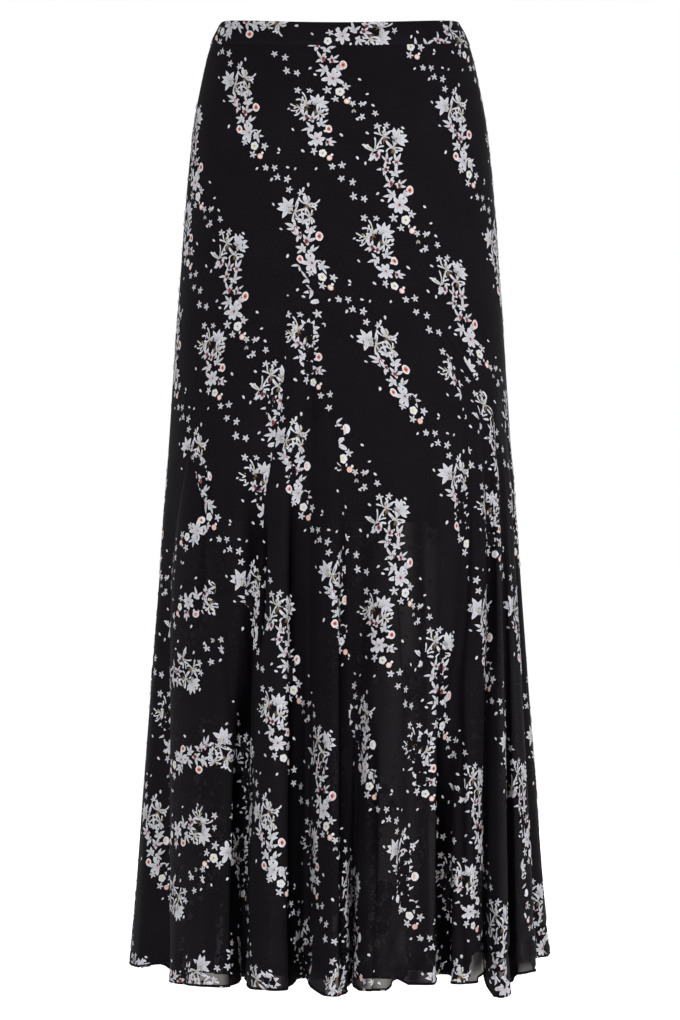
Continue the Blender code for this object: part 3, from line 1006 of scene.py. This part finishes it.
FULL_BLOOMS = (
    ("spider", 8, 2, 20, 15), ("spider", -3, 12, -50, 13), ("broad", -10, 6, -58, 13),
    ("spider", 12, 17, 60, 12), ("lily", 4, 22, 10, 10), ("lily", -5, 27, -60, 10),
    ("lily", 10, 31, 50, 10), ("lily", 1, 37, -90, 9.5), ("ring", 20, 38, 0, 4.8),
    ("lily", 9, 43, 30, 10), ("lily", 2, 51, -70, 9.5), ("lily", 13, 54, 80, 9.5),
    ("wide", 10, 64, 0, 12), ("lily", 21, 70, 100, 9), ("ring", 0, 60, 0, 4.6),
    ("star", 5, 76, 0, 5.0), ("cup", 18, 81, 0, 4.7), ("star", 28, 80, 0, 5.0),
    ("star", 14, 90, 0, 4.8), ("bead", 24, 92, 0, 3.1), ("bud", 29, 101, 0, 5.0),
)
SHORT_BLOOMS = (
    ("spider", -9, 10, -50, 13), ("spider", 0, 1, -6, 13), ("broad", 10, 4, 44, 12.5),
    ("spider", 11, 15, 80, 11), ("lily", -5, 20, -50, 9.5), ("lily", 4, 22, 10, 9.5),
    ("lily", 11, 28, 60, 9), ("lily", 1, 32, -90, 9.5), ("ring", 20, 33, 0, 4.6),
    ("wide", 8, 43, 0, 10.5), ("lily", 17, 48, 84, 8), ("cup", 14, 57, 0, 4.4),
    ("star", 4, 56, 0, 4.8), ("bead", 20, 64, 0, 2.9),
)
# By points: the axis of a spray's blooms and the trail of its stars. So many loose petals lie
# beside both.
Spray = namedtuple("Spray", "seed blooms axis trail stars loose")
LONG_TRAIL = ((34, 100), (42, 110), (53, 119), (64, 131))
LONG_A = Spray(11, LONG_BLOOMS, ((0, 0), (4, 32), (14, 66), (26, 98)), LONG_TRAIL, 6, 11)
LONG_B = Spray(23, FULL_BLOOMS, ((0, 0), (3, 32), (12, 62), (24, 94)), LONG_TRAIL, 6, 11)
SHORT = Spray(37, SHORT_BLOOMS, ((0, 0), (3, 22), (8, 44), (16, 62)),
              ((24, 70), (36, 86), (48, 108), (62, 128)), 8, 11)

# How far chance moves, turns and sizes a bloom, a star of the trail and a loose petal
JITTER = 1.8
BLOOM_TURN = 8
BLOOM_SIZE = (0.93, 1.06)
BLOOM_SCALE = 0.99
STAR_SIDE = 3.2
STAR_JITTER = 2
STAR_SIZE = (3.8, 4.9)
LOOSE_SIDE = (12, 27)
LOOSE_JITTER = 9
LOOSE_SIZE = (3.2, 4.4)


def draw_spray(spray):
    motif = Motif(spray.seed)
    chance = motif.random

    def near(p, q, reach):
        return p + motif.sway(reach), q + motif.sway(reach)

    for bloom in (Bloom(*row) for row in spray.blooms):
        place = near(bloom.p, bloom.q, JITTER)
        turn = bloom.turn + motif.sway(BLOOM_TURN)
        size = bloom.size * BLOOM_SCALE * chance.uniform(*BLOOM_SIZE)
        getattr(motif, bloom.kind)(place, turn, size)
    for k in range(spray.stars):
        at = along(spray.trail, k / (spray.stars - 1))
        side = STAR_SIDE if k % 2 else -STAR_SIDE
        place = near(at[0] + side, at[1] - side, STAR_JITTER)
        motif.star(place, 0.0, chance.uniform(*STAR_SIZE))
    for k in range(spray.loose):
        at = along(spray.axis + spray.trail, chance.random())
        side = (-1 if k % 2 else 1) * chance.uniform(*LOOSE_SIDE)
        place = at[0] + side, at[1] + motif.sway(LOOSE_JITTER)
        motif.loose_petal(place, chance.uniform(*LOOSE_SIZE))
    return motif


# The repeat of the print: three sprays side by side, each column stepping down by DOWN, so
# that a spray's trail of stars leads to the next one's head
ACROSS = (237.0, 28.0)
DOWN = (64.0, 138.0)
REPEAT = ((LONG_A, 0.0, 0.0), (LONG_B, 81.0, -42.0), (SHORT, 159.0, -12.0))
DRAWN = [(draw_spray(spray), p, q) for spray, p, q in REPEAT]

# How many repeats are tried each way, and how far a spray reaches from its head
REPEATS_ACROSS = 9
REPEATS_DOWN = 12
REACH_LEFT = 60
REACH_RIGHT = 110
REACH_UP = 30
REACH_DOWN = 150

# Height of the print over the cloth, and of each element over the one before
PRINT_LIFT = 0.35
ELEMENT_LIFT = 0.0035

# A point of the print belongs to the span it lies in or next to this far below it
LOOK_DOWN = 9.0

# How strongly the print shows on the wrong side of the cloth
STRIKE_THROUGH = 0.4


def pattern_to_flat(p, q, quarter_turn):
    return (-q, p) if quarter_turn else (p, q)


def flat_to_pattern(u, v, quarter_turn):
    return (v, -u) if quarter_turn else (u, v)


def span_of(surface, u, v):
    """Which span of a flat piece holds a point, or None beside the piece."""
    row = surface.row_at(v)
    if row is None:
        return None
    low = surface.row_at(v + LOOK_DOWN)
    below = surface.runs[row if low is None else low]
    misses = [max(run.across[0] - u, u - run.across[-1], 0.0) for run in below]
    span = misses.index(min(misses))
    across = surface.runs[row][span].across
    return span if across[0] <= u <= across[-1] else None


def lay_print(name, surface, shift, quarter_turn, material, side=1):
    """The repeat laid over a cut piece from a shift, clipped at its seams and hem.

    Side is 1 for the outside of the cloth and -1 for the wrong side, where it strikes through.
    """
    low_u, high_u, low_v, high_v = surface.extent()
    corners = [flat_to_pattern(u, v, quarter_turn)
               for u in (low_u, high_u) for v in (low_v, high_v)]
    all_p, all_q = zip(*corners)
    low_p = min(all_p) + shift[0] - REACH_RIGHT
    high_p = max(all_p) + shift[0] + REACH_LEFT
    low_q = min(all_q) + shift[1] - REACH_DOWN
    high_q = max(all_q) + shift[1] + REACH_UP
    points = []
    faces = []
    colours = []
    for across in range(-REPEATS_ACROSS, REPEATS_ACROSS + 1):
        for down in range(-REPEATS_DOWN, REPEATS_DOWN + 1):
            for motif, p, q in DRAWN:
                at_p = across * ACROSS[0] + down * DOWN[0] + p
                at_q = across * ACROSS[1] + down * DOWN[1] + q
                if low_p < at_p < high_p and low_q < at_q < high_q:
                    lay_motif(motif, at_p - shift[0], at_q - shift[1], quarter_turn, surface,
                              side, points, faces, colours)
    spots = np.concatenate(points)
    thing = make_object(name, spots, faces, material)
    tint = thing.data.color_attributes.new("tint", "FLOAT_COLOR", "POINT")
    shades = np.concatenate([np.concatenate(colours), np.ones((len(spots), 1))], axis=1)
    tint.data.foreach_set("color", shades.ravel())
    return thing


def lay_motif(motif, at_p, at_q, quarter_turn, surface, side, points, faces, colours):
    """The elements of a motif that fall on a piece, added to the print's lists."""
    centres = [pattern_to_flat(p + at_p, q + at_q, quarter_turn) for p, q in motif.centres]
    spans = [span_of(surface, u, v) for u, v in centres]
    elements = np.array(motif.elements)
    kept = np.array([span is not None for span in spans])[elements]
    if not kept.any():
        return
    drawn = np.array(motif.points)[kept]
    u, v = pattern_to_flat(drawn[:, 0] + at_p, drawn[:, 1] + at_q, quarter_turn)
    chosen = np.array([-1 if span is None else span for span in spans])[elements][kept]
    number = np.cumsum(kept) - 1 + sum(len(group) for group in points)
    lift = side * (PRINT_LIFT + ELEMENT_LIFT * elements[kept])
    points.append(surface.lay(u, v, chosen, lift))
    colours.append(np.array(motif.colours)[kept] * (1.0 if side > 0 else STRIKE_THROUGH))
    faces.extend(tuple(int(number[corner]) for corner in face) for face in motif.faces
                 if kept[face[0]])


# Half tubes: the waistband and the lining

class Tube(Surface):
    """Half of a plain tube as a flat piece: one run in each row, with distances round it."""

    def __init__(self, sections, heights, front, columns, inset):
        super().__init__(-np.array(heights))
        start = -0.5 * math.pi if front else 0.5 * math.pi
        turns = [start + math.pi * k / columns for k in range(columns + 1)]
        for height in heights:
            points = np.array([body_point(sections, height, turn) for turn in turns])
            normals = plan_normals(points, False)
            shown = points - normals * inset
            z = np.array([height - waist_dip(point, height) for point in points])
            along = distances(*shown.T)
            self.runs.append([Run(None, along - 0.5 * along[-1], (*shown.T, z, *normals.T))])

    def make(self, name, material, profile=None):
        """A skin over the rows, or a closed shell where a profile gives offsets for a wall."""
        points = []
        flat_points = []
        loops = profile or [(row, 0.0) for row in range(len(self.runs))]
        for row, lift in loops:
            run = self.runs[row][0]
            points.append(lifted(run.columns, lift))
            flat_points += [(u * MM, -self.depths[row] * MM) for u in run.across]
        count = len(points[0])
        faces = quads(len(loops), count, bool(profile), False)
        if profile:
            starts = range(0, len(loops) * count, count)
            faces += [tuple(reversed(starts)), tuple(at + count - 1 for at in starts)]
        thing = make_object(name, np.concatenate(points), faces, material)
        set_uv(thing, flat_points)
        return thing


# The band's rows with the bulge of its outer skin, the gap that its inner skin keeps to the
# wall's inner face, and the row whose width is taken
BAND_HEIGHTS = (12.0, 11.3, 9.5, 4.0, -2.0, -8.0, -11.6, -12.6, -13.0)
BAND_BULGE = (-0.7, -0.2, 0.0, 0.15, 0.2, 0.15, 0.0, -0.25, -0.8)
BAND_GAP = 0.05
BAND_MIDDLE = 4
BAND_COLUMNS = 84
LINING_ROWS = 60
LINING_COLUMNS = 60


def band_profile():
    inner = [(at, BAND_GAP - BAND_WALL) for at in reversed(range(len(BAND_HEIGHTS)))]
    return list(enumerate(BAND_BULGE)) + inner


# Narrow strips: rolled hems, seam allowances and the lining's turned hem

# Half the height and half the thickness of a hem
ROLLED_HEM = (1.4, 0.75)
TURNED_HEM = (0.8, 0.5)
HEM_SIDES = 8
# A seam allowance: its width, how far inside the cloth it lies, and its lines of points
SEAM_WIDTH = 3.0
SEAM_DEPTH = 0.8
SEAM_SHARES = np.array((0.0, 0.5, 1.0))


def make_strips(name, paths, closed, material):
    """A piece of strips, each a list of rings of points; closed ones have both ends filled."""
    points = []
    faces = []
    for rings in paths:
        start = len(points)
        sides = len(rings[0])
        for ring in rings:
            points += [tuple(point) for point in ring]
        faces += [tuple(start + corner for corner in face)
                  for face in quads(len(rings), sides, False, closed)]
        if closed:
            faces.append(tuple(range(start, start + sides)))
            faces.append(tuple(reversed(range(len(points) - sides, len(points)))))
    return make_object(name, points, faces, material)


def hem_rings(columns, half_height, half_thickness):
    """Rings of a hem that stands on the edge of the cloth, one at each point of the edge."""
    x, depth, z, normal_x, normal_depth = columns
    sides = []
    for k in range(HEM_SIDES):
        angle = 2 * math.pi * k / HEM_SIDES
        up = half_height * math.sin(angle)
        sides.append(lifted((x, depth, z + half_height + up, normal_x, normal_depth),
                            half_thickness * math.cos(angle)))
    return np.stack(sides, axis=1)


def seam_rings(flat, at_last):
    """A seam allowance pressed to one side, just inside the cloth, at its first or last edge."""
    rings = []
    for found in flat.runs:
        across = found[0].across
        width = min(SEAM_WIDTH, 0.5 * (across[-1] - across[0]))
        u = across[-1] - width * SEAM_SHARES if at_last else across[0] + width * SEAM_SHARES
        columns = [np.interp(u, across, column) for column in found[0].columns]
        rings.append(lifted(columns, -SEAM_DEPTH))
    return rings


# Materials and their numbers

WHITE_LIGHT = (1.0, 1.0, 1.0, 1.0)
# Colour that passes through the sheer cloth, and the near-black painted shade at the bottom of a
# tuck
CLEAR_TINT = (1.0, 0.955, 0.90, 1.0)
TUCK_SHADE = (0.0008, 0.0006, 0.0008, 1.0)
# How much denser the chiffon is on its threads than between them
THREAD_SPREAD = 0.008

# A cloth's two tones, its gloss, and the way along it for one radian of the weave's waves,
# in metres; the wave texture runs so many radians for each unit of its scale
Cloth = namedtuple("Cloth", "low high roughness specular sheen radian")
CHIFFON_CLOTH = Cloth((0.0050, 0.0039, 0.0055), (0.0066, 0.0053, 0.0073), 0.75, 0.05, 0.015,
                      0.0004)
LINING_CLOTH = Cloth((0.0030, 0.0028, 0.0033), (0.0050, 0.0047, 0.0054), 0.5, 0.08, 0.01,
                     0.0003)
EDGE_CLOTH = Cloth((0.0035, 0.0030, 0.0040), (0.0060, 0.0050, 0.0070), 0.8, 0.04, 0.01, 0.0004)
WAVE_RADIANS = 20
WEAVE_UNEVEN = {"Distortion": 1.6, "Detail": 1.0}
SHEEN_ROUGHNESS = 0.4
BLOTCHES = {"Scale": 24.0, "Detail": 4.0, "Roughness": 0.6}
BLOTCH_EDGES = (0.3, 0.7)
WEAVE_RELIEF = {"Strength": 0.25, "Distance": 0.0001}

# The print's grain, the shares of a colour between which it varies, its relief and its gloss
PRINT_GRAIN = {"Scale": 420.0, "Detail": 3.0}
PRINT_STRIKE = {"To Min": 0.72, "To Max": 1.12}
PRINT_RELIEF = {"Strength": 0.2, "Distance": 0.0001}
PRINT_GLOSS = {"Roughness": 0.8, "Specular IOR Level": 0.05}


def set_up(tree, node, settings):
    """Settings of a node by name; an input's value is linked where it is a node's output."""
    for key, value in settings.items():
        if isinstance(value, bpy.types.NodeSocket):
            tree.links.new(value, node.inputs[key])
        elif isinstance(key, str) and hasattr(node, key):
            setattr(node, key, value)
        else:
            node.inputs[key].default_value = value


def add_node(tree, kind, output, settings):
    """A new node's output, by name."""
    node = tree.nodes.new("ShaderNode" + kind)
    set_up(tree, node, settings)
    return node.outputs[output]


def new_material(name):
    material = bpy.data.materials.new(name)
    material.use_nodes = True
    return material, material.node_tree, material.node_tree.nodes["Principled BSDF"]


def weave_height(tree, uv, radian):
    """Warp and weft of a plain weave along the cloth: 0 between threads, 1 on them."""
    scale = {"Scale": 1.0 / (radian * WAVE_RADIANS), "Vector": uv}
    waves = [add_node(tree, "TexWave", "Fac", {"bands_direction": direction, **scale,
                                               **WEAVE_UNEVEN}) for direction in ("X", "Y")]
    return add_node(tree, "Math", "Value", {"operation": "MAXIMUM", 0: waves[0], 1: waves[1]})


def mottle(tree, uv, low, high):
    """A colour that drifts between two tones in soft blotches along the cloth."""
    noise = add_node(tree, "TexNoise", "Fac", {"Vector": uv, **BLOTCHES})
    colour = add_node(tree, "ValToRGB", "Color", {"Fac": noise})
    stops = colour.node.color_ramp.elements
    for stop, position, tone in zip(stops, BLOTCH_EDGES, (low, high)):
        stop.position = position
        stop.color = (*tone, 1.0)
    return colour


def woven_material(name, cloth, sheer=False):
    """Woven cloth of two close tones, opaque or sheer."""
    material, tree, shader = new_material(name)
    uv = add_node(tree, "UVMap", "UV", {"uv_map": "cloth"})
    weave = weave_height(tree, uv, cloth.radian)
    set_up(tree, shader, {
        "Base Color": mottle(tree, uv, cloth.low, cloth.high),
        "Roughness": cloth.roughness,
        "Specular IOR Level": cloth.specular,
        "Sheen Weight": cloth.sheen,
        "Sheen Roughness": SHEEN_ROUGHNESS,
        "Normal": add_node(tree, "Bump", "Normal", {"Height": weave, **WEAVE_RELIEF}),
    })
    if sheer:
        make_sheer(tree, shader, weave)
    return material


def make_sheer(tree, shader, weave):
    """Light passes between the threads, slightly warm, and the bottoms of tucks get painted shade.
    """
    threads = add_node(tree, "MapRange", "Result", {
        "Value": weave, "To Min": -THREAD_SPREAD, "To Max": THREAD_SPREAD})
    density = add_node(tree, "Attribute", "Fac", {"attribute_name": "cover"})
    stopped = add_node(tree, "Math", "Value", {
        "operation": "ADD", "use_clamp": True, 0: density, 1: threads})
    # Painted shade: the dark attribute mixes the cloth towards a near-black diffuse in tucks
    tucked = add_node(tree, "MixShader", "Shader", {
        "Fac": add_node(tree, "Attribute", "Fac", {"attribute_name": "dark"}),
        1: shader.outputs["BSDF"],
        2: add_node(tree, "BsdfDiffuse", "BSDF", {"Color": TUCK_SHADE})})
    mixed = add_node(tree, "MixShader", "Shader", {
        "Fac": stopped,
        1: add_node(tree, "BsdfTransparent", "BSDF", {"Color": CLEAR_TINT}),
        2: tucked})
    set_up(tree, tree.nodes["Material Output"], {"Surface": mixed})


def print_material(name):
    """Pigment on the cloth: the motifs' own colours with a faint uneven strike."""
    material, tree, shader = new_material(name)
    place = add_node(tree, "TexCoord", "Object", {})
    grain = add_node(tree, "TexNoise", "Fac", {"Vector": place, **PRINT_GRAIN})
    tint = add_node(tree, "Attribute", "Color", {"attribute_name": "tint"})
    strike = add_node(tree, "MapRange", "Result", {"Value": grain, **PRINT_STRIKE})
    set_up(tree, shader, {
        "Base Color": add_node(tree, "VectorMath", "Vector", {
            "operation": "SCALE", 0: tint, "Scale": strike}),
        "Normal": add_node(tree, "Bump", "Normal", {"Height": grain, **PRINT_RELIEF}),
        **PRINT_GLOSS})
    return material


CHIFFON = woven_material("printed_chiffon", CHIFFON_CLOTH, sheer=True)
PRINT = print_material("flower_print")
BAND = woven_material("waistband_chiffon", CHIFFON_CLOTH)
LINING = woven_material("lining", LINING_CLOTH)
EDGE = woven_material("hem_and_seam_cloth", EDGE_CLOTH)

# Each panel: first and last place, and the godets let into it
Panel = namedtuple("Panel", "name first last godets")
PANELS = (
    Panel("front_panel", LEFT_SIDE, RIGHT_SIDE,
          ("godet_front_left", "godet_front_centre", "godet_front_right")),
    Panel("back_panel_right", RIGHT_SIDE, 47.5, ("godet_back_right",)),
    Panel("back_panel_left", 55.0, WHOLE_TURN, ("godet_back_left",)),
)
# The print's shift over each piece, and whether the piece is cut across the print
PRINTS = {
    "front_panel": ((64, 22), False),
    "back_panel_right": ((30, 80), False),
    "back_panel_left": ((150, 10), False),
    "godet_front_left": ((40, 96), True),
    "godet_front_centre": ((122, 60), False),
    "godet_front_right": ((10, 130), False),
    "godet_back_right": ((90, 30), False),
    "godet_back_centre": ((55, 100), False),
    "godet_back_left": ((170, 60), False),
    "waistband_front": ((54, 282), True),
    "waistband_back": ((222, 174), True),
}


def panel_flat(panel):
    spans = []
    begin = panel.first
    for name in panel.godets:
        spans.append((begin, GODET[name].first))
        begin = GODET[name].second
    spans.append((begin, panel.last))
    return Flat(spans, [GODET[name].edges[0].height for name in panel.godets], 0)


def godet_flat(godet):
    return Flat([(godet.first, godet.second)], [], HEIGHTS.index(godet.edges[0].height))


def flat_size(surface):
    """Width, length and area of a cut piece, in metres."""
    low, high, top, foot = surface.extent()
    widths = surface.widths()
    width = float(max(high - low, max(widths)))
    length = float(foot - top)
    area = float(np.mean(widths)) * length
    return round(width * MM, 3), round(length * MM, 3), round(area * MM * MM, 4)


def ride_and_slot(things):
    for thing in things:
        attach(thing, "root")


flats = {panel.name: panel_flat(panel) for panel in PANELS}
flats.update((godet.name, godet_flat(godet)) for godet in GODETS)
clothes = {}
for name, flat in flats.items():
    cloth = make_cloth(name + "_chiffon", flat, CHIFFON)
    printed = [lay_print(name + "_print", flat, *PRINTS[name], PRINT)]
    if "back" in name:
        printed.append(lay_print(name + "_print_wrong_side", flat, *PRINTS[name], PRINT, -1))
    ride_and_slot([cloth, *printed])
    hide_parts(name)
    clothes[name] = (cloth, printed)

seam_paths = [seam_rings(flats[panel.name], False) for panel in PANELS]
for godet in GODETS:
    seam_paths += [seam_rings(flats[godet.name], at_last) for at_last in (False, True)]
seams = make_strips("seam_allowances", seam_paths, False, EDGE)
hem_paths = [hem_rings(run.columns, *ROLLED_HEM) for flat in flats.values()
             for run in flat.runs[-1]]
hem = make_strips("rolled_hem", hem_paths, True, EDGE)
ride_and_slot([seams, hem])

for name, (cloth, printed) in clothes.items():
    width, length, area = flat_size(flats[name])

for side in ("front", "back"):
    name = "waistband_" + side
    tube = Tube(SECTIONS, BAND_HEIGHTS, side == "front", BAND_COLUMNS, 0.0)
    shell = tube.make(name + "_shell", BAND, band_profile())
    motif = lay_print(name + "_print", tube, *PRINTS[name], PRINT)
    ride_and_slot([shell, motif])
    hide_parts(name)
    width = float(tube.widths()[BAND_MIDDLE]) * MM
    name = "lining_" + side
    heights = np.linspace(BAND_FOOT, LINING_HEM, LINING_ROWS)
    tube = Tube(LINING_SECTIONS, heights, side == "front", LINING_COLUMNS, 0.5 * LINING_WALL)
    shell = tube.make(name + "_cloth", LINING)
    turned = make_strips(name + "_hem", [hem_rings(tube.runs[-1][0].columns, *TURNED_HEM)],
                         True, LINING)
    ride_and_slot([shell, turned])
    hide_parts(name)
    width, length, area = flat_size(tube)


# Stage, lights and camera, in metres

FLOOR_HEIGHT = -1.10
FLOOR_HALF = 40.0
FLOOR_GLOW = 0.82
CAMERA_DISTANCE = 5.0
PICTURE_HEIGHT = 1.0812
CAMERA_HEIGHT = -0.5046
SENSOR = 24.0
AMBIENT = 0.3
LIGHT_AIM = Vector((0.0, 0.0, -0.5))
Light = namedtuple("Light", "name place width height power")
LIGHTS = (
    Light("key_light", (-1.6, -3.6, 0.6), 1.2, 2.2, 60.0),
    Light("fill_light", (2.6, -2.4, 0.0), 1.2, 2.0, 52.0),
    Light("back_light", (0.6, 3.6, 0.4), 2.0, 2.4, 50.0),
)


def make_floor():
    material, tree, shader = new_material("studio_white")
    set_up(tree, shader, {"Base Color": (0.8, 0.8, 0.8, 1.0), "Roughness": 0.9,
                          "Emission Color": WHITE_LIGHT, "Emission Strength": FLOOR_GLOW})
    corners = ((-1, -1), (1, -1), (1, 1), (-1, 1))
    points = [(x * FLOOR_HALF, y * FLOOR_HALF, FLOOR_HEIGHT) for x, y in corners]
    floor = make_object("studio_floor", points, [(0, 1, 2, 3)], material)


def make_light(light):
    data = bpy.data.lights.new(light.name, "AREA")
    data.shape = "RECTANGLE"
    data.size = light.width
    data.size_y = light.height
    data.energy = light.power
    lamp = bpy.data.objects.new(light.name, data)
    lamp.location = light.place
    direction = LIGHT_AIM - Vector(light.place)
    lamp.rotation_euler = direction.to_track_quat("-Z", "Y").to_euler()
    bpy.context.scene.collection.objects.link(lamp)


def make_camera():
    data = bpy.data.cameras.new("camera")
    data.sensor_fit = "VERTICAL"
    data.sensor_height = SENSOR
    data.lens = SENSOR * CAMERA_DISTANCE / PICTURE_HEIGHT
    camera = bpy.data.objects.new("camera", data)
    camera.location = (0.0, -CAMERA_DISTANCE, CAMERA_HEIGHT)
    camera.rotation_euler = (0.5 * math.pi, 0.0, 0.0)
    bpy.context.scene.collection.objects.link(camera)
    bpy.context.scene.camera = camera


def make_world():
    """White all round to the eye; its share of the light on the cloth is set by itself."""
    studio = bpy.data.worlds.new("studio")
    studio.use_nodes = True
    tree = studio.node_tree
    soft = tree.nodes["Background"]
    set_up(tree, soft, {"Color": WHITE_LIGHT, "Strength": AMBIENT})
    mixed = add_node(tree, "MixShader", "Shader", {
        "Fac": add_node(tree, "LightPath", "Is Camera Ray", {}),
        1: soft.outputs["Background"],
        2: add_node(tree, "Background", "Background", {"Color": WHITE_LIGHT, "Strength": 1.0})})
    set_up(tree, tree.nodes["World Output"], {"Surface": mixed})
    bpy.context.scene.world = studio
    bpy.context.scene.view_settings.view_transform = "Standard"


make_floor()
make_world()
make_camera()
for light in LIGHTS:
    make_light(light)
